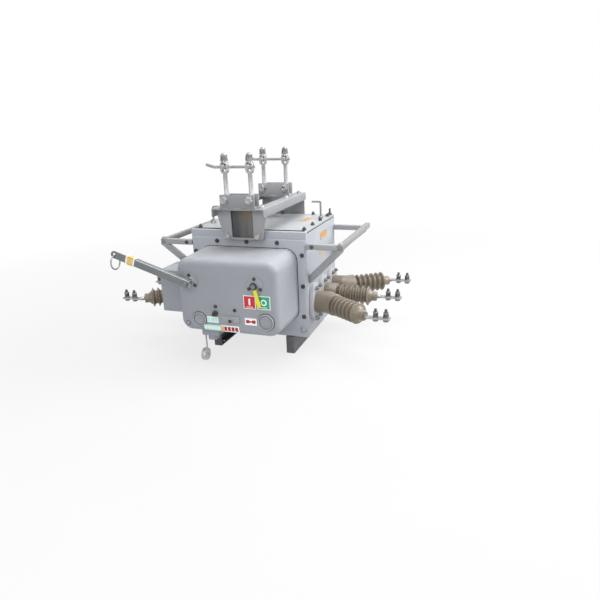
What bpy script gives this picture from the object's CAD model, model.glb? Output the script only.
import math

import bmesh
import bpy
from mathutils import Matrix, Vector


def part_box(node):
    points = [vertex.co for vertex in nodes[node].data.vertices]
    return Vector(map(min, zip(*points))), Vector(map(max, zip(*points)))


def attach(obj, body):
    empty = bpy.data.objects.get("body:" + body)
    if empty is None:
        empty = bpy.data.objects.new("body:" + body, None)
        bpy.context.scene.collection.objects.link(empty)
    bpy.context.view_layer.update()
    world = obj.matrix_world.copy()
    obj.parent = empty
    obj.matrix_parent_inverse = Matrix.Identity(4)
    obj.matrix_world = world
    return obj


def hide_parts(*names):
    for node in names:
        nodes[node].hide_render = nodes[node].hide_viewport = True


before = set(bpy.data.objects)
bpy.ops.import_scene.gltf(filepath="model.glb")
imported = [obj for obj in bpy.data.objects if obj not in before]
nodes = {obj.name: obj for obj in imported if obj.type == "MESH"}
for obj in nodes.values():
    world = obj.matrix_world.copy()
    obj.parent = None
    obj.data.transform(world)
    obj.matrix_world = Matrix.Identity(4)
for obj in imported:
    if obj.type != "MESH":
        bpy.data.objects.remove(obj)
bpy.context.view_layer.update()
scene = bpy.context.scene

# Lengths are in metres. +Z is up and the front of the switch faces -Y.
FRONT = (0, -1, 0)
BACK = (0, 1, 0)
UP = (0, 0, 1)
DOWN = (0, 0, -1)
RIGHT = (1, 0, 0)
SIDES = (-1, 1)


# Shader helpers

def new_material(name):
    material = bpy.data.materials.new(name)
    material.use_nodes = True
    tree = material.node_tree
    return material, tree, tree.nodes["Principled BSDF"]


def feed(tree, socket, value):
    """Gives a socket a number or a colour, or links it to an output."""
    if isinstance(value, (int, float)):
        socket.default_value = value
    elif isinstance(value, tuple):
        socket.default_value = (*value, 1.0)
    else:
        tree.links.new(value, socket)


def object_coordinates(tree):
    return tree.nodes.new("ShaderNodeTexCoord").outputs["Object"]


def components(tree, vector):
    """The X, Y and Z outputs of a vector."""
    node = tree.nodes.new("ShaderNodeSeparateXYZ")
    tree.links.new(vector, node.inputs[0])
    return node.outputs


def noise(tree, vector, scale, detail=4.0, rough=0.55):
    node = tree.nodes.new("ShaderNodeTexNoise")
    node.inputs["Scale"].default_value = scale
    node.inputs["Detail"].default_value = detail
    node.inputs["Roughness"].default_value = rough
    tree.links.new(vector, node.inputs["Vector"])
    return node.outputs["Fac"]


def ramp(tree, value, stops):
    node = tree.nodes.new("ShaderNodeValToRGB")
    elements = node.color_ramp.elements
    while len(elements) < len(stops):
        elements.new(0.5)
    for element, (position, colour) in zip(elements, stops):
        element.position = position
        element.color = (*colour, 1.0)
    tree.links.new(value, node.inputs["Fac"])
    return node.outputs["Color"]


def to_range(tree, value, start, end, value_start=0.3, value_end=0.7):
    """Maps a value's span onto the span from start to end."""
    node = tree.nodes.new("ShaderNodeMapRange")
    node.inputs["From Min"].default_value = value_start
    node.inputs["From Max"].default_value = value_end
    node.inputs["To Min"].default_value = start
    node.inputs["To Max"].default_value = end
    tree.links.new(value, node.inputs["Value"])
    return node.outputs["Result"]


def arithmetic(tree, operation, first, second):
    node = tree.nodes.new("ShaderNodeMath")
    node.operation = operation
    feed(tree, node.inputs[0], first)
    feed(tree, node.inputs[1], second)
    return node.outputs[0]


def mix(tree, factor, first, second, how="MIX"):
    node = tree.nodes.new("ShaderNodeMix")
    node.data_type = "RGBA"
    node.blend_type = how
    first_colour, second_colour = [s for s in node.inputs if s.type == "RGBA"]
    feed(tree, node.inputs[0], factor)
    feed(tree, first_colour, first)
    feed(tree, second_colour, second)
    return next(s for s in node.outputs if s.type == "RGBA")


def bump(tree, height, strength, distance):
    node = tree.nodes.new("ShaderNodeBump")
    node.inputs["Strength"].default_value = strength
    node.inputs["Distance"].default_value = distance
    tree.links.new(height, node.inputs["Height"])
    return node.outputs["Normal"]


def shade(colour, factor):
    return tuple(min(1.0, v * factor) for v in colour)


# Materials

NONE = (0.0, 0.0, 0.0)
FULL = (1.0, 1.0, 1.0)
DUST = (0.62, 0.61, 0.58)
GROOVE_SOIL = (0.15, 0.14, 0.13)
GROOVE_REACH = 0.014
METAL_GRIME = (0.72, 0.7, 0.67)
PAINT_GRAIN = 0.00006
RUBBER_GRAIN = 0.00015
PRINT_GRAIN = 0.00003
METAL_PITS = 0.00005


def coated(name, base, rough=0.42, spread=0.07, broad=7.0, grain=900.0, grain_depth=PAINT_GRAIN,
           speck=None, speck_amount=0.0, dust=0.0, grooves=0.0, gloss=0.5):
    """Paint, rubber or plastic: tint drift, specks, fine grain, dust on top faces, soil in grooves."""
    material, tree, shader = new_material(name)
    place = object_coordinates(tree)
    drift = [(0.28, shade(base, 1 - spread)), (0.5, base), (0.75, shade(base, 1 + spread))]
    colour = ramp(tree, noise(tree, place, broad, detail=5.0, rough=0.6), drift)
    if speck is not None:
        specks = noise(tree, place, scale=180.0, detail=3.0, rough=0.7)
        mask = ramp(tree, specks, [(0.66, NONE), (0.74, FULL)])
        colour = mix(tree, arithmetic(tree, "MULTIPLY", mask, speck_amount), colour, speck)
    if dust > 0:
        normal = tree.nodes.new("ShaderNodeNewGeometry").outputs["Normal"]
        upward = to_range(tree, components(tree, normal)["Z"], 0.0, dust, 0.55, 1.0)
        patches = to_range(tree, noise(tree, place, scale=22.0, detail=6.0, rough=0.65), 0.25, 1.0)
        colour = mix(tree, arithmetic(tree, "MULTIPLY", upward, patches), colour, DUST)
    if grooves > 0:
        shelter = tree.nodes.new("ShaderNodeAmbientOcclusion")
        shelter.samples = 8
        shelter.only_local = True
        shelter.inputs["Distance"].default_value = GROOVE_REACH
        soil = ramp(tree, shelter.outputs["AO"], [(0.2, GROOVE_SOIL), (0.9, FULL)])
        colour = mix(tree, grooves, colour, soil, "MULTIPLY")
    roughness = to_range(tree, noise(tree, place, scale=35.0), rough - 0.06, rough + 0.09)
    relief = bump(tree, noise(tree, place, grain, detail=2.0), 0.5, grain_depth)
    shader.inputs["Specular IOR Level"].default_value = gloss
    tree.links.new(colour, shader.inputs["Base Color"])
    tree.links.new(roughness, shader.inputs["Roughness"])
    tree.links.new(relief, shader.inputs["Normal"])
    return material


def printed(name, base, rough, spread):
    """Smooth coat of a plate or a label."""
    return coated(name, base, rough, spread=spread, grain_depth=PRINT_GRAIN)


def metal_coat(name, base, rough, cell, metal, soil=0.55, pits=0.4):
    """Galvanised, plated or bare metal: crystal cells of differing tint, grime and small pits."""
    material, tree, shader = new_material(name)
    place = object_coordinates(tree)
    crystals = tree.nodes.new("ShaderNodeTexVoronoi")
    crystals.inputs["Scale"].default_value = cell
    tree.links.new(place, crystals.inputs["Vector"])
    split = tree.nodes.new("ShaderNodeSeparateColor")
    tree.links.new(crystals.outputs["Color"], split.inputs[0])
    tint = ramp(tree, split.outputs[0], [(0.0, shade(base, 0.88)), (1.0, shade(base, 1.1))])
    stains = noise(tree, place, scale=28.0, detail=6.0, rough=0.65)
    grime = ramp(tree, stains, [(0.35, METAL_GRIME), (0.6, FULL)])
    roughness = to_range(tree, split.outputs[1], rough - 0.08, rough + 0.12, 0.0, 1.0)
    relief = bump(tree, noise(tree, place, scale=700.0, detail=3.0), pits, METAL_PITS)
    shader.inputs["Metallic"].default_value = metal
    tree.links.new(mix(tree, soil, tint, grime, "MULTIPLY"), shader.inputs["Base Color"])
    tree.links.new(roughness, shader.inputs["Roughness"])
    tree.links.new(relief, shader.inputs["Normal"])
    return material


def weathered_panel(name):
    """Dark paint, blue-grey at the left and brown at the top right, with upright streaks."""
    half_width = 0.042
    brown_from = 0.470
    brown_to = 0.510
    material, tree, shader = new_material(name)
    place = object_coordinates(tree)
    axes = components(tree, place)
    across = to_range(tree, axes["X"], 0.0, 1.0, -half_width, half_width)
    height = to_range(tree, axes["Z"], 0.0, 1.0, brown_from, brown_to)
    base = ramp(tree, across, [(0.0, (0.056, 0.06, 0.068)), (0.33, (0.06, 0.068, 0.084)),
                               (0.42, (0.12, 0.112, 0.104)), (1.0, (0.152, 0.144, 0.136))])
    brown = mix(tree, arithmetic(tree, "MULTIPLY", height, across), base, (0.17, 0.12, 0.045))
    stretch = tree.nodes.new("ShaderNodeMapping")
    stretch.inputs["Scale"].default_value = (1.0, 1.0, 0.12)
    tree.links.new(place, stretch.inputs["Vector"])
    lines = noise(tree, stretch.outputs["Vector"], scale=160.0, detail=5.0, rough=0.6)
    streaks = ramp(tree, lines, [(0.3, (0.72, 0.72, 0.72)), (0.7, (1.2, 1.2, 1.2))])
    roughness = to_range(tree, noise(tree, place, scale=40.0), 0.32, 0.5)
    relief = bump(tree, noise(tree, place, scale=700.0, detail=2.0), 0.4, PAINT_GRAIN)
    tree.links.new(mix(tree, 0.8, brown, streaks, "MULTIPLY"), shader.inputs["Base Color"])
    tree.links.new(roughness, shader.inputs["Roughness"])
    tree.links.new(relief, shader.inputs["Normal"])
    return material


GREY = (0.312, 0.326, 0.36)
GREY_SPECK = (0.24, 0.25, 0.27)
FRAME_SPECK = (0.2, 0.19, 0.17)

paint = coated("switch_paint", GREY, 0.44, spread=0.05, speck=GREY_SPECK, speck_amount=0.12,
               dust=0.25, gloss=0.28)
tank_paint = coated("tank_paint", shade(GREY, 1.24), 0.42, spread=0.05, speck=GREY_SPECK,
                    speck_amount=0.12, dust=0.25)
lid_paint = coated("lid_paint", (0.335, 0.352, 0.37), 0.42, spread=0.07, speck=(0.3, 0.3, 0.3),
                   speck_amount=0.18, dust=0.2)
frame_paint = coated("frame_paint", (0.33, 0.337, 0.352), 0.45, spread=0.06, speck=FRAME_SPECK,
                     speck_amount=0.25, dust=0.08, gloss=0.4)
bracket_paint = coated("bracket_paint", (0.245, 0.243, 0.245), 0.48, spread=0.08,
                       speck=(0.16, 0.15, 0.14), speck_amount=0.25, dust=0.06, gloss=0.35)
hanger_paint = coated("hanger_paint", (0.252, 0.26, 0.277), 0.45, spread=0.06, speck=FRAME_SPECK,
                      speck_amount=0.22, dust=0.2)
flange_paint = coated("flange_paint", (0.42, 0.43, 0.45), 0.38, spread=0.05,
                      speck=(0.34, 0.34, 0.35), speck_amount=0.15, dust=0.2)
rail_paint = coated("rail_paint", (0.108, 0.108, 0.114), 0.5, spread=0.12,
                    speck=(0.28, 0.27, 0.26), speck_amount=0.3)
handle_paint = coated("handle_paint", (0.17, 0.185, 0.195), 0.38, spread=0.08,
                      speck=(0.4, 0.4, 0.4), speck_amount=0.18)
pointer_paint = coated("pointer_paint", (0.78, 0.72, 0.03), 0.4, spread=0.06,
                       speck=(0.45, 0.4, 0.05), speck_amount=0.25)
panel_paint = weathered_panel("panel_paint")
resin = coated("bushing_rubber", (0.2, 0.164, 0.124), 0.31, spread=0.1, broad=14.0, grain=500.0,
               speck=(0.33, 0.28, 0.22), speck_amount=0.15, dust=0.12, grooves=0.9)
gasket = coated("gasket_rubber", (0.022, 0.022, 0.024), 0.7, spread=0.2, grain_depth=RUBBER_GRAIN)
tape = coated("handle_tape", (0.78, 0.54, 0.17), 0.4, spread=0.1, speck=(0.5, 0.3, 0.05),
              speck_amount=0.3)
ring_grey = coated("ring_grey", (0.1, 0.102, 0.108), 0.45, spread=0.12)
insert = coated("socket_insert", (0.03, 0.03, 0.032), 0.45, spread=0.15)

red = printed("plate_red", (0.56, 0.016, 0.03), 0.35, 0.07)
deep_red = printed("plate_deep_red", (0.36, 0.014, 0.022), 0.38, 0.07)
green = printed("plate_green", (0.012, 0.35, 0.2), 0.35, 0.07)
mint = printed("plate_mint", (0.47, 0.86, 0.73), 0.38, 0.06)
orange = printed("plate_orange", (0.76, 0.41, 0.16), 0.38, 0.06)
amber = printed("plate_amber", (0.5, 0.26, 0.075), 0.42, 0.08)
straw = printed("plate_straw", (0.5, 0.4, 0.17), 0.42, 0.08)
white = printed("plate_white", (0.92, 0.92, 0.91), 0.35, 0.03)

black = metal_coat("black_oxide", (0.075, 0.073, 0.073), 0.42, 300.0, 0.6)
dark_zinc = metal_coat("dark_zinc", (0.1, 0.098, 0.096), 0.36, 220.0, 0.75, soil=0.4)
grey_zinc = metal_coat("grey_zinc", (0.23, 0.23, 0.235), 0.4, 200.0, 0.75, soil=0.35)
hot_zinc = metal_coat("hot_zinc", (0.36, 0.36, 0.37), 0.46, 160.0, 0.7)
bright_zinc = metal_coat("bright_zinc", (0.42, 0.42, 0.425), 0.36, 260.0, 0.8)
plated_steel = metal_coat("plated_steel", (0.44, 0.44, 0.45), 0.4, 90.0, 0.9, soil=0.2, pits=0.1)
pale_zinc = metal_coat("pale_zinc", (0.66, 0.66, 0.67), 0.4, 200.0, 0.35, soil=0.3)
brass = metal_coat("brass", (0.62, 0.42, 0.12), 0.32, 220.0, 0.9)


# Mesh helpers

def circle(radius, count):
    """Points round the origin, as pairs."""
    angles = [2 * math.pi * i / count for i in range(count)]
    return [(radius * math.cos(a), radius * math.sin(a)) for a in angles]


def band(inner, outer, low_end, high_end):
    """Profile of a flat ring for Group.lathe."""
    return [(inner, low_end), (outer, low_end), (outer, high_end), (inner, high_end), (inner, low_end)]


def split_edges(piece, degrees):
    """Keeps the edges sharper than this angle sharp."""
    modifier = piece.modifiers.new("creases", "EDGE_SPLIT")
    modifier.split_angle = math.radians(degrees)


class Group:
    """One piece made of turned, hexagonal, swept and flat solids."""

    def __init__(self, name, body, material, slot, crease=35.0):
        self.mesh = bmesh.new()
        self.name = name
        self.body = body
        self.material = material
        self.slot = slot
        self.crease = crease

    def ring(self, points):
        return [self.mesh.verts.new(p) for p in points]

    def skin(self, first, second):
        """Faces between two rings; a ring of one point closes the end."""
        count = max(len(first), len(second))
        for i in range(count):
            j = (i + 1) % count
            if len(first) == 1 and len(second) > 1:
                self.mesh.faces.new((first[0], second[j], second[i]))
            elif len(second) == 1 and len(first) > 1:
                self.mesh.faces.new((first[i], first[j], second[0]))
            elif len(first) > 1:
                self.mesh.faces.new((first[i], first[j], second[j], second[i]))

    def lathe(self, place, axis, profile, count=24, spin=0.0):
        """Solid of revolution from pairs of radius and height; few sides give a prism."""
        turn = Vector(UP).rotation_difference(Vector(axis).normalized()).to_matrix().to_4x4()
        matrix = Matrix.Translation(Vector(place)) @ turn @ Matrix.Rotation(spin, 4, "Z")
        rings = []
        for radius, height in profile:
            points = circle(radius, count) if radius > 0 else [(0, 0)]
            rings.append(self.ring(matrix @ Vector((x, y, height)) for x, y in points))
        for first, second in zip(rings, rings[1:]):
            self.skin(first, second)

    def sweep(self, path, up, radius, count=8):
        """Closed round strip along points given with their outward direction."""
        section = circle(radius, count)
        rings = [self.ring(p + out * x + up * y for x, y in section) for p, out in path]
        for first, second in zip(rings, rings[1:] + rings[:1]):
            self.skin(first, second)

    def rod(self, spine, across, radius, count=16):
        """Round rod along points that lie in one plane; across is that plane's normal."""
        section = circle(radius, count)
        rings = []
        for i, p in enumerate(spine):
            along = (spine[min(i + 1, len(spine) - 1)] - spine[max(i - 1, 0)]).normalized()
            out = along.cross(across)
            rings.append(self.ring(p + out * x + across * y for x, y in section))
        for first, second in zip(rings, rings[1:]):
            self.skin(first, second)
        self.mesh.faces.new(rings[0])
        self.mesh.faces.new(rings[-1])

    def washer(self, place, axis, radius, thick):
        edge = min(thick * 0.25, 0.0005)
        profile = [(0, 0), (radius, 0), (radius, thick - edge), (radius - edge, thick), (0, thick)]
        self.lathe(place, axis, profile, 28)

    def hexagon(self, place, axis, flats, height, spin=0.0):
        """Nut or bolt head with a chamfer and a shallow dish on top."""
        radius = flats / math.sqrt(3)
        chamfer = height * 0.16
        dish = height - 0.0003
        profile = [(0, 0), (radius, 0), (radius, height - chamfer), (radius * 0.89, height),
                   (radius * 0.55, height), (radius * 0.5, dish), (0, dish)]
        self.lathe(place, axis, profile, 6, spin)

    def thread(self, place, axis, radius, length, pitch):
        turns = max(3, int(length / pitch))
        end = length + 0.15 * radius
        profile = [(0, 0)]
        for i in range(turns):
            start = length * i / turns
            profile += [(radius * 0.9, start), (radius, start + 0.5 * length / turns)]
        profile += [(radius * 0.86, length), (radius * 0.7, end), (0, end)]
        self.lathe(place, axis, profile, 20)

    def bolt(self, place, axis, size, spin=0.0, stub=0.0):
        """Washer and hexagon head of a nominal size; a stub adds a thread end, as on a nut."""
        along = Vector(axis).normalized()
        base = size * 0.16
        head = size * (0.8 if stub else 0.62)
        self.washer(place, along, size * 1.05, base)
        self.hexagon(Vector(place) + along * base, along, size * 1.6, head, spin)
        if stub:
            start = Vector(place) + along * (base + head)
            self.thread(start, along, size * 0.48, stub, size * 0.16)

    def slab(self, corner, opposite, turned=None):
        """Box between two corners, moved by a matrix if one is given."""
        spans = list(zip(Vector(corner), Vector(opposite)))
        cube = bmesh.ops.create_cube(self.mesh, size=1.0)
        for v in cube["verts"]:
            point = Vector([a + (c + 0.5) * (b - a) for c, (a, b) in zip(v.co, spans)])
            v.co = turned @ point if turned else point

    def finish(self):
        bmesh.ops.recalc_face_normals(self.mesh, faces=self.mesh.faces)
        mesh = bpy.data.meshes.new(self.name)
        self.mesh.to_mesh(mesh)
        self.mesh.free()
        mesh.materials.append(self.material)
        for face in mesh.polygons:
            face.use_smooth = True
        piece = bpy.data.objects.new(self.name, mesh)
        scene.collection.objects.link(piece)
        split_edges(piece, self.crease)
        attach(piece, self.body)


def dress(piece, material, bevel, segments=2, crease=38.0):
    """A CAD node keeps its shape: it gets its material, softened edges and smooth curves."""
    mesh = piece.data
    mesh.materials.clear()
    mesh.materials.append(material)
    if "custom_normal" in mesh.attributes:
        mesh.attributes.remove(mesh.attributes["custom_normal"])
    for face in mesh.polygons:
        face.use_smooth = True
    weld = piece.modifiers.new("weld", "WELD")
    weld.merge_threshold = 0.00001
    if bevel:
        edges = piece.modifiers.new("edges", "BEVEL")
        edges.width = bevel
        edges.segments = segments
        edges.limit_method = "ANGLE"
        edges.angle_limit = math.radians(40)
        edges.use_clamp_overlap = True
    split_edges(piece, crease)


# CAD nodes. The first entry that a node's name starts with gives its material, bevel width,
# bevel segments and crease angle; a node with no entry gets PLAIN.

PLAIN = (paint, 0.0018, 3)
BUSHING = (resin, 0.0008, 2, 50.0)
FINISHES = (
    ("tank_body", (tank_paint, 0.0018, 3)),
    ("front_flange", (tank_paint, 0.0018, 3)),
    ("tank_lid", (lid_paint, 0.0016)),
    ("lid_gasket", (gasket, 0.0)),
    ("lid_hook", (hot_zinc, 0.0006)),
    ("rail_", (rail_paint, 0.0012)),
    ("mechanism_cover", (paint, 0.0, 2, 30.0)),
    ("close_knob", (dark_zinc, 0.0008)),
    ("trip_knob", (frame_paint, 0.0008)),
    ("dust_cap", (pale_zinc, 0.0004)),
    ("bushing_flanges", (flange_paint, 0.0015, 3)),
    ("bushing_", BUSHING),
    ("terminal_", (bright_zinc, 0.0008)),
    ("hanger_", (hanger_paint, 0.0012)),
    ("front_saddle", (hanger_paint, 0.0012)),
    ("rear_saddle", (frame_paint, 0.0012)),
    ("front_leg", (frame_paint, 0.0012)),
    ("rear_leg", (frame_paint, 0.0012)),
    ("leg_panel", (panel_paint, 0.0006)),
    ("front_rods", (plated_steel, 0.0006)),
    ("rear_rods", (plated_steel, 0.0006)),
    ("front_clamp", (hot_zinc, 0.0006)),
    ("rear_clamp", (hot_zinc, 0.0006)),
    ("side_bar", (bracket_paint, 0.0012)),
    ("side_arms", (frame_paint, 0.0012)),
    ("side_braces", (frame_paint, 0.0012)),
    ("operating_handle", (handle_paint, 0.0009)),
    ("pull_ring", (hot_zinc, 0.0004)),
    ("pointer_bearing", PLAIN),
    ("pointer", (pointer_paint, 0.0004)),
)

for node_name, node in nodes.items():
    finish = next((f for start, f in FINISHES if node_name.startswith(start)), PLAIN)
    dress(node, *finish)

# The right front bushing is made as the mirror image of the rear one, so that its elbow is whole
twin = nodes["bushing_right_rear"].data.copy()
twin.name = "bushing_right_front_whole"
twin.transform(Matrix.Scale(-1.0, 4, (0, 1, 0)))
twin.flip_normals()
whole = bpy.data.objects.new("bushing_right_front_whole", twin)
scene.collection.objects.link(whole)
dress(whole, *BUSHING)
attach(whole, "base")
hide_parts("bushing_right_front")


# Places read from the CAD nodes

def low(name):
    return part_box(name)[0]


def high(name):
    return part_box(name)[1]


def mid(name):
    return (low(name) + high(name)) / 2


def outer_x(name, sign):
    return high(name).x if sign > 0 else low(name).x


flange_front = low("front_flange").y
flange_rear = high("front_flange").y
flange_side = high("front_flange").x
tank_low = low("front_flange").z
tank_top = high("front_flange").z
tank_side = high("tank_body").x
tank_rear = high("tank_body").y
lid_top = high("tank_lid").z
cover_front = low("mechanism_cover").y
leg_front = low("front_leg").y
leg_back = high("rear_leg").y
hub = mid("handle_bearing")
dial = mid("pointer_bearing")
lever_front = low("operating_handle").y
ROD_INSET = 0.013


# Bolts and nuts. The spin values turn the heads so that they don't all stand alike.

def add_flange_bolts():
    """Dark bolts of the front flange, the two bearings and the knobs."""
    size = 0.0074
    top_drop = 0.038
    side_inset = 0.0137
    bearing_size = 0.0056
    bearing_circle = 0.0225
    bearing_plate = 0.003
    bolts = Group("flange_bolts", "base", black, "black_steel")
    for x in (-0.113, 0.0, 0.113):
        bolts.bolt((x, flange_front, tank_top - top_drop), FRONT, size, x * 9)
    for sign in SIDES:
        x = sign * (flange_side - side_inset)
        for rise in (0.298, 0.189, 0.079):
            bolts.bolt((x, flange_front, tank_low + rise), FRONT, size, rise * 7)
    for centre in (hub, dial):
        for degrees in (90, 210, 330):
            x = centre.x + bearing_circle * math.cos(math.radians(degrees))
            z = centre.z + bearing_circle * math.sin(math.radians(degrees))
            bolts.bolt((x, cover_front - bearing_plate, z), FRONT, bearing_size, degrees * 0.02)
    bolts.bolt((-0.042, cover_front, 0.224), FRONT, size=0.0058, spin=0.3)
    bolts.bolt((0.027, cover_front, 0.2155), FRONT, size=0.0058, spin=0.1)
    bolts.bolt((0.016, low("trip_knob").y, 0.1835), FRONT, size=0.0055, spin=0.5)
    bolts.bolt((-0.044, low("close_knob").y, mid("close_knob").z), FRONT, size=0.005, spin=0.2)
    bolts.finish()


def add_lid_bolts():
    """Upright bolts round the lid, and those of the side brackets' front arms."""
    size = 0.0075
    stub = 0.004
    corner_size = 0.0085
    corner_stub = 0.016
    arm_size = 0.0065
    arm_x = 0.236
    side_x = tank_side - 0.014
    rear_y = tank_rear - 0.012
    bolts = Group("lid_bolts", "base", dark_zinc, "zinc")
    for sign in SIDES:
        for y in (-0.140, -0.048, 0.044, 0.136):
            bolts.bolt((sign * side_x, y, tank_top), UP, size, y * 11 + sign, stub)
        bolts.bolt((sign * side_x, rear_y, tank_top), UP, corner_size, sign, corner_stub)
    for x in (-0.13, 0.0, 0.13):
        bolts.bolt((x, rear_y, tank_top), UP, size, x * 7, stub)
    arm_front = low("side_arms_right").y
    arm_z = mid("side_arms_right").z
    for sign in SIDES:
        bolts.bolt((sign * arm_x, arm_front, arm_z), FRONT, arm_size, sign)
    bolts.finish()


def add_hanger_bolts():
    """Bolts of the hanger's legs, saddles and beams and of the side bars' front ends."""
    leg_size = 0.0105
    leg_x = 0.055
    leg_rise = 0.012
    saddle_size = 0.0145
    saddle_x = 0.045
    saddle_rise = 0.0285
    saddle_stub = 0.014
    beam_size = 0.008
    beam_x = 0.075
    beam_stub = 0.003
    bar_size = 0.0085
    bar_inset = 0.009
    beam_top = high("hanger_beam_right").z
    bar_low, bar_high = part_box("side_bar_right")
    bolts = Group("hanger_bolts", "base", bright_zinc, "zinc")
    for sign in SIDES:
        bolts.bolt((sign * leg_x, leg_front, low("front_leg").z + leg_rise), FRONT, leg_size, sign * 0.4)
        bolts.bolt((sign * leg_x, leg_back, low("rear_leg").z + leg_rise), BACK, leg_size, sign * 0.2)
        for name in ("front_saddle", "rear_saddle"):
            x = sign * saddle_x
            z = low(name).z + saddle_rise
            bolts.bolt((x, low(name).y, z), FRONT, saddle_size, sign * 0.3 + z)
            bolts.bolt((x, high(name).y, z), BACK, saddle_size, sign * 0.5, saddle_stub)
        for y in (-0.205, 0.02, 0.165):
            bolts.bolt((sign * beam_x, y, beam_top), UP, beam_size, y * 9, beam_stub)
        bar_end = (sign * (bar_high.x - bar_inset), bar_low.y + bar_inset, bar_high.z)
        bolts.bolt(bar_end, UP, bar_size, sign)
    bolts.finish()


def add_rod_nuts():
    """Washer, two nuts and a thread end on top of each hanger rod."""
    flats = 0.021
    washer_drop = 0.0238
    lower_drop = 0.0216
    upper_drop = 0.0116
    thread_drop = 0.0044
    nuts = Group("rod_nuts", "base", grey_zinc, "zinc")
    for name in ("front_rods", "rear_rods"):
        end = high(name).z
        y = mid(name).y
        for sign in SIDES:
            x = sign * (high(name).x - ROD_INSET)
            nuts.washer((x, y, end - washer_drop), UP, radius=0.0135, thick=0.0022)
            nuts.hexagon((x, y, end - lower_drop), UP, flats, height=0.0098, spin=sign * 0.4)
            nuts.hexagon((x, y, end - upper_drop), UP, flats, height=0.0072, spin=sign * 0.9)
            nuts.thread((x, y, end - thread_drop), UP, radius=0.0071, length=0.0040, pitch=0.0014)
    nuts.finish()


def add_clamp_bolts():
    """Bolts through the clamp bars, with their nuts behind the rods."""
    head_size = 0.0078
    nut_size = 0.0098
    stub = 0.006
    rise = 0.0045
    half_rod = 0.0076
    bolts = Group("clamp_bolts", "base", bright_zinc, "zinc")
    for clamp, rods in (("front_clamp", "front_rods"), ("rear_clamp", "rear_rods")):
        z = low(clamp).z + rise
        for sign in SIDES:
            x = sign * (high(rods).x - ROD_INSET)
            bolts.bolt((x, low(clamp).y, z), FRONT, head_size, sign * 0.6)
            bolts.bolt((x, mid(rods).y + half_rod, z), BACK, nut_size, sign * 0.3, stub)
    bolts.finish()


def add_bushing_bolts():
    """Four bolts on each oval flange."""
    size = 0.0076
    stub = 0.004
    flange_pitch = 0.106
    half_y = 0.020
    half_z = 0.056
    bolts = Group("bushing_bolts", "base", grey_zinc, "zinc")
    for sign, name in ((-1, "bushing_flanges_left"), (1, "bushing_flanges_right")):
        x = outer_x(name, sign)
        centre = mid(name)
        for k in (-1, 0, 1):
            for dy in (-half_y, half_y):
                for dz in (-half_z, half_z):
                    place = (x, centre.y + k * flange_pitch + dy, centre.z + dz)
                    bolts.bolt(place, (sign, 0, 0), size, dy * 30 + k, stub)
    bolts.finish()


def add_terminal_bolts():
    """Two bolts on each terminal: head and washer below, washers and two nuts above."""
    flats = 0.016
    thin_nut = 0.0065
    half_pad = 0.011
    half_plate = 0.0025
    head_drop = 0.0045
    spring_rise = 0.0045
    nut_rise = 0.0069
    lock_rise = 0.0156
    thread_rise = 0.0221
    bolts = Group("terminal_bolts", "base", grey_zinc, "zinc")
    nuts = Group("terminal_nuts", "base", dark_zinc, "zinc")
    for name in nodes:
        if not name.startswith("terminal"):
            continue
        sign = 1 if "right" in name else -1
        y = mid(name).y
        if name.endswith("front"):
            y = low(name).y + half_pad
        elif name.endswith("rear"):
            y = high(name).y - half_pad
        z = mid(name).z
        for inset in (0.014, 0.048):
            x = outer_x(name, sign) - sign * inset
            bolts.washer((x, y, z - half_plate), DOWN, radius=0.0105, thick=0.002)
            bolts.hexagon((x, y, z - head_drop), DOWN, flats, thin_nut, inset * 30)
            bolts.washer((x, y, z + half_plate), UP, radius=0.0105, thick=0.002)
            bolts.washer((x, y, z + spring_rise), UP, radius=0.0085, thick=0.0024)
            nuts.hexagon((x, y, z + nut_rise), UP, flats, height=0.0085, spin=inset * 17)
            bolts.hexagon((x, y, z + lock_rise), UP, flats, thin_nut, inset * 41)
            nuts.thread((x, y, z + thread_rise), UP, radius=0.005, length=0.0090, pitch=0.0015)
    bolts.finish()
    nuts.finish()


def add_flange_caps():
    """Domed caps at the flange's lower corners and the screw in the cover's lower left corner."""
    foot = 0.002
    foot_radius = 0.0115
    dome_radius = 0.0105
    dome_rise = 0.009
    cap_x = 0.1985
    cap_rise = 0.03
    dome = [(0, 0), (foot_radius, 0), (foot_radius, foot)]
    for step in range(8):
        angle = step * math.pi / 16
        dome.append((dome_radius * math.cos(angle), foot + dome_rise * math.sin(angle)))
    dome.append((0, foot + dome_rise))
    screw_place = (-0.150, cover_front + 0.0004, 0.1585)
    screw = [(0, 0), (0.0066, 0), (0.0066, 0.0022), (0.0054, 0.0034), (0, 0.0034)]
    caps = Group("flange_caps", "base", paint, "grey_paint", 50.0)
    for sign in SIDES:
        caps.lathe((sign * cap_x, flange_front, tank_low + cap_rise), FRONT, dome, 28)
    caps.lathe(screw_place, FRONT, screw, 24)
    caps.finish()
    seats = Group("screw_seats", "base", ring_grey, "grey_paint", 50.0)
    seats.washer(screw_place, FRONT, radius=0.0092, thick=0.0009)
    seats.finish()


# Seals, hub nuts and the trim of the lever, the socket and the dust cap

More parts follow.
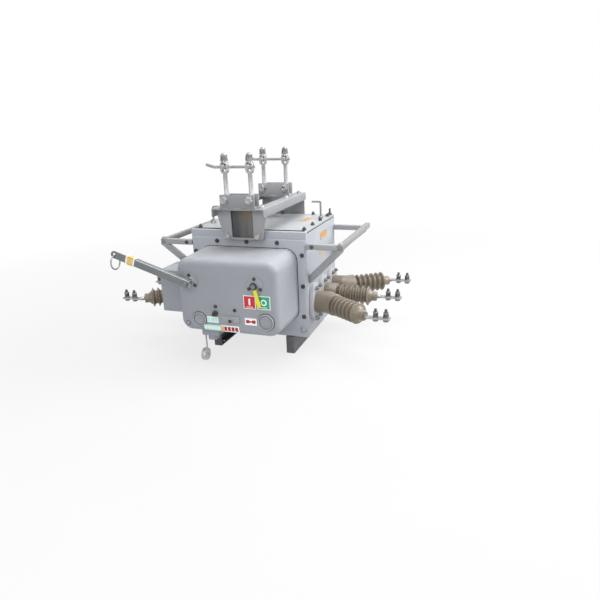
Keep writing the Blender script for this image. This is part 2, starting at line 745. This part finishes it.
def add_plug_rings():
    """Seal round each plug, with a dark line and a rounded pale edge on the plug itself."""
    count = 56
    edge_angles = [math.radians(v) for v in range(-60, 301, 30)]
    rings = Group("plug_rings", "base", ring_grey, "grey_paint", 60.0)
    edges = Group("plug_edges", "base", flange_paint, "grey_paint", 60.0)
    for name in ("plug_left", "plug_right"):
        place = (mid(name).x, cover_front, mid(name).z)
        radius = (high(name).x - low(name).x) / 2
        out = cover_front - low(name).y
        seal = band(radius - 0.0004, radius + 0.0030, 0.0, 0.0006)
        line = band(radius - 0.0054, radius - 0.0040, out - 0.0002, out + 0.0005)
        edge = [(radius - 0.0016 + 0.0019 * math.cos(a), out - 0.0002 + 0.0015 * math.sin(a))
                for a in edge_angles]
        rings.lathe(place, FRONT, seal, count)
        rings.lathe(place, FRONT, line, count)
        edges.lathe(place, FRONT, edge, count)
    rings.finish()
    edges.finish()


def add_cover_seal():
    """Rubber strip where the cover meets the flange, and one between the flange and the lid."""
    corner = 0.042
    strip = 0.0017
    lid_inset = 0.006
    box_low, box_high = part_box("mechanism_cover")
    corners = ((1, 1, box_high.x, box_high.z, 0), (-1, 1, box_low.x, box_high.z, 90),
               (-1, -1, box_low.x, box_low.z, 180), (1, -1, box_high.x, box_low.z, 270))
    path = []
    for sign_x, sign_z, x, z, start in corners:
        for k in range(13):
            angle = math.radians(start + 7.5 * k)
            point = Vector((x - sign_x * corner + corner * math.cos(angle), flange_front,
                            z - sign_z * corner + corner * math.sin(angle)))
            path.append((point, Vector((math.cos(angle), 0, math.sin(angle)))))
    seal = Group("cover_seal", "base", gasket, "gasket", 60.0)
    seal.sweep(path, Vector(FRONT), strip)
    seal.slab((-tank_side + lid_inset, flange_rear - 0.0006, tank_top - 0.004),
              (tank_side - lid_inset, flange_rear + 0.0062, tank_top + 0.0020))
    seal.finish()


def add_hub_nuts():
    """Washers and nuts that turn with the handle and with the pointer."""
    handle_washer = 0.0015
    pointer_washer = 0.0018
    handle_nut = Group("handle_nut", "handle", grey_zinc, "zinc")
    handle_nut.washer((hub.x, lever_front, hub.z), FRONT, radius=0.009, thick=handle_washer)
    handle_nut.hexagon((hub.x, lever_front - handle_washer, hub.z), FRONT,
                       flats=0.0145, height=0.006, spin=0.3)
    handle_nut.finish()
    seat = low("pointer").y + 0.003
    pointer_nut = Group("pointer_nut", "pointer_body", black, "black_steel")
    pointer_nut.washer((dial.x, seat, dial.z), FRONT, radius=0.0126, thick=pointer_washer)
    pointer_nut.finish()
    pointer_hub = Group("pointer_hub", "pointer_body", grey_zinc, "zinc")
    pointer_hub.hexagon((dial.x, seat - pointer_washer, dial.z), FRONT,
                        flats=0.0140, height=0.0055, spin=0.2)
    pointer_hub.finish()


def add_lever_trim():
    """Tape round the lever near its eye, and bare metal at its cut end and upper edge."""
    lever_angle = math.radians(18)
    half_height = 0.0125
    depth = 0.016
    tail = 0.0125
    lever = Matrix.Translation((hub.x, 0, hub.z)) @ Matrix.Rotation(lever_angle, 4, "Y")
    strips = (("handle_tape", tape, 0.202, 0.224, 0.0012),
              ("handle_tape_ends", white, 0.196, 0.230, 0.0007))
    for name, material, start, end, thick in strips:
        edge = half_height + thick
        near = lever_front - thick
        far = lever_front + depth + thick
        strip = Group(name, "handle", material, "pointer_yellow")
        strip.slab((-end, near, -edge), (-start, lever_front, edge), lever)
        strip.slab((-end, near, edge - thick), (-start, far, edge), lever)
        strip.slab((-end, near, -edge), (-start, far, -edge + thick), lever)
        strip.finish()
    bare = Group("handle_bare", "handle", pale_zinc, "zinc")
    bare.slab((tail - 0.0002, lever_front + 0.0004, -0.0122),
              (tail + 0.0007, lever_front + 0.0155, 0.0030), lever)
    bare.slab((-0.192, lever_front - 0.0004, 0.0105), (tail, lever_front + 0.0010, 0.0129), lever)
    bare.finish()


def add_socket_parts():
    """Insert and pins of the control socket."""
    insert_depth = 0.005
    pin_depth = 0.006
    pin_circle = 0.0088
    pin_count = 6
    centre = mid("control_socket")
    mouth = low("control_socket").z
    insert_profile = [(0, -0.011), (0.0153, -0.011), (0.0153, 0), (0.0138, 0.0008),
                      (0.0138, -0.001), (0, -0.001)]
    pin_profile = [(0, 0), (0.0014, 0), (0.0014, 0.0045), (0.0008, 0.0054), (0, 0.0056)]
    core = Group("socket_core", "base", insert, "black_steel")
    core.lathe((centre.x, centre.y, mouth + insert_depth), DOWN, insert_profile, 40)
    core.finish()
    pins = Group("socket_pins", "base", brass, "zinc")
    for dx, dy in circle(pin_circle, pin_count) + [(0, 0)]:
        pins.lathe((centre.x + dx, centre.y + dy, mouth + pin_depth), DOWN, pin_profile, 14)
    pins.finish()


def add_cap_grip():
    """Rivets of the dust cap and the knurls round its rim."""
    cap_radius = 0.021
    knurl_circle = 0.0209
    knurl_count = 30
    knurl_inset = 0.003
    strap_drop = 0.008
    cap_low, cap_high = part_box("dust_cap")
    y = mid("dust_cap").y
    z = cap_low.z + cap_radius
    cap_rivet = [(0, 0), (0.0045, 0), (0.0042, 0.0014), (0.002, 0.0022), (0, 0.0024)]
    knurl = [(0, 0), (0.0009, 0.0004), (0.0009, 0.0078), (0, 0.0082)]
    strap_rivet = [(0, 0), (0.0035, 0), (0.0033, 0.0012), (0, 0.0020)]
    grip = Group("cap_grip", "base", bright_zinc, "zinc")
    grip.lathe((cap_high.x, y, z), RIGHT, cap_rivet, 20)
    for dy, dz in circle(knurl_circle, knurl_count):
        grip.lathe((cap_low.x + knurl_inset, y + dy, z + dz), RIGHT, knurl, 8)
    grip.lathe((cap_high.x, y, cap_high.z - strap_drop), RIGHT, strap_rivet, 18)
    grip.finish()


# Welds and the rods on the lid

def bead(group, start, end, radius=0.0022):
    """Weld bead between two points, a row of small swellings."""
    ripple = 0.0026
    start = Vector(start)
    along = Vector(end) - start
    length = along.length
    count = max(6, int(length / ripple))
    profile = [(0, 0)]
    for i in range(count + 1):
        swell = 0.86 + 0.2 * ((i * 7) % 5) / 5 + (0.14 if i % 2 else 0.0)
        profile.append((radius * swell, length * i / count))
    profile.append((0, length))
    group.lathe(start, along, profile, 9)


def add_welds():
    """Welds on the hanger, the side brackets, the rails and the tank's rear corners."""
    arm_inset = 0.018
    rail_start = 0.03
    rail_pitch = 0.07
    rail_bead = 0.03
    rail_radius = 0.0026
    saddle_bead = 0.024
    saddle_lift = 0.0004
    leg_inner = 0.043
    leg_outer = 0.089
    leg_sink = 0.0005
    flange_step = 0.0026
    corner_drop = 0.0105
    corner_lift = 0.0002
    corner_radius = 0.0016
    welds = Group("weld_beads", "base", frame_paint, "grey_paint", 80.0)
    for name in ("front_saddle", "rear_saddle"):
        z = low(name).z + saddle_lift
        for y in (low(name).y, high(name).y):
            for x in (-0.058, -0.012, 0.034):
                bead(welds, (x, y, z), (x + saddle_bead, y, z))
    leg_top = high("front_leg").z - leg_sink
    arm_low, arm_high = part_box("side_arms_right")
    arms = ((arm_low.y + arm_inset, flange_side - flange_step), (arm_high.y - arm_inset, tank_side))
    rail_low, rail_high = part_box("rail_right")
    corner_z = tank_top - corner_drop
    for sign in SIDES:
        for y in (leg_front + 0.0052, leg_back - 0.0055):
            bead(welds, (sign * leg_inner, y, leg_top), (sign * leg_outer, y, leg_top))
        for y, wall in arms:
            for x in (sign * wall, sign * arm_high.x):
                bead(welds, (x, y, arm_low.z), (x, y, arm_high.z))
        x = sign * rail_high.x
        for k in range(5):
            y = rail_low.y + rail_start + k * rail_pitch
            bead(welds, (x, y, rail_high.z), (x, y + rail_bead, rail_high.z), rail_radius)
        x = sign * (tank_side + corner_lift)
        bead(welds, (x, tank_rear - 0.06, corner_z), (x, tank_rear - 0.006, corner_z), corner_radius)
    welds.finish()


def add_lid_rods():
    """Nuts of the two bent rods on the lid, and the left rod, which is like the CAD one at the right."""
    rod_radius = 0.0035
    bend = 0.007
    half_hook = 0.0037
    washer = 0.0015
    left_y = -0.060
    hook_low, hook_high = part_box("lid_hook")
    right_x = hook_high.x - half_hook
    nuts = Group("hook_nut", "base", bright_zinc, "zinc")
    for x, y in ((right_x, mid("lid_hook").y), (-right_x, left_y)):
        nuts.washer((x, y, tank_top), UP, radius=0.0105, thick=washer)
        nuts.hexagon((x, y, tank_top + washer), UP, flats=0.015, height=0.007, spin=0.4)
    nuts.finish()
    rod_top = hook_high.z - half_hook
    spine = [Vector((-right_x, left_y, tank_top - 0.0005))]
    for degrees in range(0, 91, 15):
        angle = math.radians(degrees)
        spine.append(Vector((-right_x + bend - bend * math.cos(angle), left_y,
                             rod_top - bend + bend * math.sin(angle))))
    spine.append(Vector((-right_x + (hook_high.x - hook_low.x) - rod_radius, left_y, rod_top)))
    rod = Group("hook_rod_left", "base", hot_zinc, "zinc", 60.0)
    rod.rod(spine, Vector(BACK), rod_radius)
    rod.finish()


# Plates on the cover: they follow its face and its rounded lower edge

EDGE = 0.021
EDGE_TOP = low("mechanism_cover").z + 0.004 + EDGE
PLATE_STEP = 0.0025
PLATE_SINK = 0.0001


def cover_row(x_from, x_to, z, lift):
    """Four corners of a plate's cross-section at one height on the cover."""
    tilt = 0.0
    y = cover_front
    if z < EDGE_TOP:
        drop = EDGE_TOP - z
        tilt = math.asin(min(1.0, drop / EDGE))
        y = cover_front + EDGE - math.sqrt(max(0.0, EDGE ** 2 - drop ** 2))
    outer_y = y - lift * math.cos(tilt)
    outer_z = z - lift * math.sin(tilt)
    inner_y = y + PLATE_SINK * math.cos(tilt)
    inner_z = z + PLATE_SINK * math.sin(tilt)
    return [(x_from, outer_y, outer_z), (x_to, outer_y, outer_z),
            (x_to, inner_y, inner_z), (x_from, inner_y, inner_z)]


def add_plate(name, material, spans, lift):
    """Thin plates from x and z spans; lift is how far they stand off the cover."""
    builder = bmesh.new()
    for x_from, x_to, z_from, z_to in spans:
        count = max(1, int((z_to - z_from) / PLATE_STEP)) if z_from < EDGE_TOP else 1
        rows = []
        for i in range(count + 1):
            z = z_from + (z_to - z_from) * i / count
            rows.append([builder.verts.new(v) for v in cover_row(x_from, x_to, z, lift)])
        builder.faces.new(rows[0])
        for first, second in zip(rows, rows[1:]):
            for j in range(4):
                k = (j + 1) % 4
                builder.faces.new((first[j], first[k], second[k], second[j]))
        builder.faces.new(rows[-1])
    bmesh.ops.recalc_face_normals(builder, faces=builder.faces)
    mesh = bpy.data.meshes.new(name)
    builder.to_mesh(mesh)
    builder.free()
    mesh.materials.append(material)
    piece = bpy.data.objects.new(name, mesh)
    scene.collection.objects.link(piece)
    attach(piece, "base")


# Spans are x from, x to, z from, z to
BACKING_SPANS = [(0.0612, 0.1034, 0.2256, 0.2706), (0.1091, 0.1539, 0.2266, 0.2716),
                 (-0.0766, -0.0354, 0.1671, 0.1881), (-0.0276, 0.0387, 0.1355, 0.1607),
                 (0.0615, 0.1032, 0.1695, 0.1936)]
CLOSED_SPAN = (0.0635, 0.1011, 0.2280, 0.2682)
OPEN_SPAN = (0.1115, 0.1515, 0.2290, 0.2692)
MINT_SPANS = [(-0.0915, -0.0295, 0.1372, 0.1585), (-0.0735, -0.0655, 0.1702, 0.1850),
              (-0.0625, -0.0495, 0.1700, 0.1852), (-0.0465, -0.0385, 0.1702, 0.1850)]
ROW_SPANS = [(-0.088 + 0.0122 * k, -0.0795 + 0.0122 * k, 0.1425, 0.1535) for k in range(5)]
DARK_SPANS = [(-0.0155 + 0.0132 * k, -0.0055 + 0.0132 * k, 0.1415, 0.1562) for k in range(4)]
DARK_SPANS += [(0.0655, 0.0775, 0.1760, 0.1870), (0.0872, 0.0992, 0.1760, 0.1870),
               (0.0775, 0.0872, 0.1790, 0.1838)]
SPOT_SPAN = (-0.0258, -0.0172, 0.1385, 0.1580)


def add_cover_plates():
    """White backings, then the coloured plates that stand a little further off the cover."""
    add_plate("plates_white", white, BACKING_SPANS, 0.0005)
    add_plate("plate_closed", red, [CLOSED_SPAN], 0.0009)
    add_plate("plate_open", green, [OPEN_SPAN], 0.0009)
    add_plate("plate_mint", mint, MINT_SPANS, 0.0008)
    add_plate("plate_rows", white, ROW_SPANS, 0.0011)
    add_plate("plate_dark", deep_red, DARK_SPANS, 0.0009)
    add_plate("plate_spot", orange, [SPOT_SPAN], 0.0011)


def add_tank_plates():
    """Bare plates on the tank's right side and on the lid, with one pale line each."""
    sink = 0.0002
    thick = 0.0006
    line_thick = 0.0009
    plates = Group("plates_flat", "base", amber, "grey_paint")
    plates.slab((tank_side - sink, -0.008, 0.378), (tank_side + thick, 0.074, 0.405))
    plates.slab((0.122, 0.025, lid_top - sink), (0.150, 0.095, lid_top + thick))
    plates.finish()
    pale = Group("plate_pale", "base", straw, "grey_paint")
    pale.slab((tank_side - sink, -0.020, 0.326), (tank_side + thick, 0.062, 0.348))
    pale.finish()
    lines = Group("plate_lines", "base", flange_paint, "grey_paint")
    lines.slab((tank_side, -0.004, 0.381), (tank_side + line_thick, 0.070, 0.385))
    lines.slab((0.125, 0.030, lid_top), (0.131, 0.090, lid_top + line_thick))
    lines.finish()


def add_plate_marks():
    """White I and O with a line under each."""
    closed_x = 0.0823
    open_x = 0.1315
    half_stroke = 0.0030
    half_line = 0.0110
    mark_front = cover_front - 0.0013
    mark_back = cover_front - 0.0005
    marks = Group("plate_marks", "base", white, "grey_paint")
    bars = ((closed_x, half_stroke, 0.2385, 0.2605), (closed_x, half_line, 0.2315, 0.2335),
            (open_x, half_line, 0.2325, 0.2345))
    for x, half, z_from, z_to in bars:
        marks.slab((x - half, mark_front, z_from), (x + half, mark_back, z_to))
    marks.lathe((open_x, cover_front - 0.0006, 0.2500), FRONT, band(0.0062, 0.0104, 0, 0.0007), 40)
    marks.finish()


add_flange_bolts()
add_lid_bolts()
add_hanger_bolts()
add_rod_nuts()
add_clamp_bolts()
add_bushing_bolts()
add_terminal_bolts()
add_flange_caps()
add_plug_rings()
add_cover_seal()
add_hub_nuts()
add_lever_trim()
add_socket_parts()
add_cap_grip()
add_welds()
add_lid_rods()
add_cover_plates()
add_tank_plates()
add_plate_marks()


# Camera, fitted to the photograph's viewing angle

PICTURE_PIXELS = 600
FOCAL_PIXELS = 547.794
SENSOR = 36.0
CAMERA_PLACE = (0.79805, -1.87532, 0.79761)
YAW, PITCH, ROLL = (math.radians(v) for v in (19.812, -18.24, 2.193))

lens = bpy.data.cameras.new("camera")
lens.sensor_width = SENSOR
lens.lens = FOCAL_PIXELS / PICTURE_PIXELS * SENSOR
lens.clip_end = 60.0
camera = bpy.data.objects.new("camera", lens)
scene.collection.objects.link(camera)
scene.camera = camera
turn = Matrix.Rotation(YAW, 3, "Z") @ Matrix.Rotation(PITCH, 3, "X") @ Matrix.Rotation(ROLL, 3, "Y")
right, ahead, above = turn.col[0], turn.col[1], turn.col[2]
facing = Matrix((right, above, -ahead)).transposed().to_4x4()
camera.matrix_world = Matrix.Translation(CAMERA_PLACE) @ facing


# Studio

FLOOR_DROP = 0.0005


def seen_rays(tree):
    """1 for rays that show the background: straight from the camera, mirrored or let through."""
    path = tree.nodes.new("ShaderNodeLightPath").outputs
    seen = arithmetic(tree, "MAXIMUM", path["Is Camera Ray"], path["Is Glossy Ray"])
    return arithmetic(tree, "MAXIMUM", seen, path["Is Transmission Ray"])


def mix_shaders(tree, share, first, second):
    node = tree.nodes.new("ShaderNodeMixShader")
    tree.links.new(share, node.inputs[0])
    tree.links.new(first.outputs[0], node.inputs[1])
    tree.links.new(second.outputs[0], node.inputs[2])
    return node.outputs[0]


def add_world():
    """White where it is seen, and a soft sky as light."""
    world = bpy.data.worlds.new("studio")
    scene.world = world
    world.use_nodes = True
    tree = world.node_tree
    tree.nodes.clear()
    shown = tree.nodes.new("ShaderNodeBackground")
    shown.inputs["Color"].default_value = (1, 1, 1, 1)
    shown.inputs["Strength"].default_value = 1.0
    soft = tree.nodes.new("ShaderNodeBackground")
    soft.inputs["Strength"].default_value = 0.62
    direction = tree.nodes.new("ShaderNodeTexCoord").outputs["Generated"]
    height = to_range(tree, components(tree, direction)["Z"], 0.0, 1.0, -0.2, 1.0)
    sky = ramp(tree, height, [(0.0, (0.5, 0.5, 0.51)), (0.4, (0.75, 0.76, 0.78)), (1.0, FULL)])
    tree.links.new(sky, soft.inputs["Color"])
    output = tree.nodes.new("ShaderNodeOutputWorld")
    tree.links.new(mix_shaders(tree, seen_rays(tree), soft, shown), output.inputs["Surface"])


def add_light(name, place, target, size, power):
    light = bpy.data.lights.new(name, "AREA")
    light.energy = power
    light.size = size
    lamp = bpy.data.objects.new(name, light)
    scene.collection.objects.link(lamp)
    lamp.location = place
    lamp.rotation_euler = (Vector(target) - Vector(place)).to_track_quat("-Z", "Y").to_euler()


def floor_material():
    """Pale floor that takes the shadow near the switch and fades to white further off."""
    material, tree, shader = new_material("floor_pale")
    tree.nodes.remove(shader)
    place = object_coordinates(tree)
    matt = tree.nodes.new("ShaderNodeBsdfDiffuse")
    clouds = noise(tree, place, scale=3.0)
    tint = ramp(tree, clouds, [(0.3, (0.54, 0.54, 0.54)), (0.7, (0.56, 0.56, 0.56))])
    tree.links.new(tint, matt.inputs["Color"])
    glow = tree.nodes.new("ShaderNodeEmission")
    glow.inputs["Color"].default_value = (1, 1, 1, 1)
    glow.inputs["Strength"].default_value = 1.0
    distance = tree.nodes.new("ShaderNodeVectorMath")
    distance.operation = "LENGTH"
    tree.links.new(place, distance.inputs[0])
    share = to_range(tree, distance.outputs["Value"], 0.76, 1.0, 0.9, 2.4)
    white_share = arithmetic(tree, "MULTIPLY", share, seen_rays(tree))
    output = tree.nodes["Material Output"]
    tree.links.new(mix_shaders(tree, white_share, matt, glow), output.inputs["Surface"])
    return material


def add_floor():
    mesh = bpy.data.meshes.new("floor")
    builder = bmesh.new()
    bmesh.ops.create_grid(builder, x_segments=2, y_segments=2, size=25.0)
    builder.to_mesh(mesh)
    builder.free()
    mesh.materials.append(floor_material())
    floor = bpy.data.objects.new("floor", mesh)
    scene.collection.objects.link(floor)
    floor.location = (0, 0, -FLOOR_DROP)


scene.view_settings.view_transform = "Standard"
add_world()
add_light("top", (0.5, 0.0, 3.2), target=(0, 0, 0.3), size=2.4, power=76)
add_light("side", (2.7, 1.1, 1.9), target=(0.1, 0, 0.3), size=1.8, power=100)
add_light("fill", (0.5, -3.0, 1.7), target=(0, 0, 0.3), size=2.2, power=35)
add_floor()
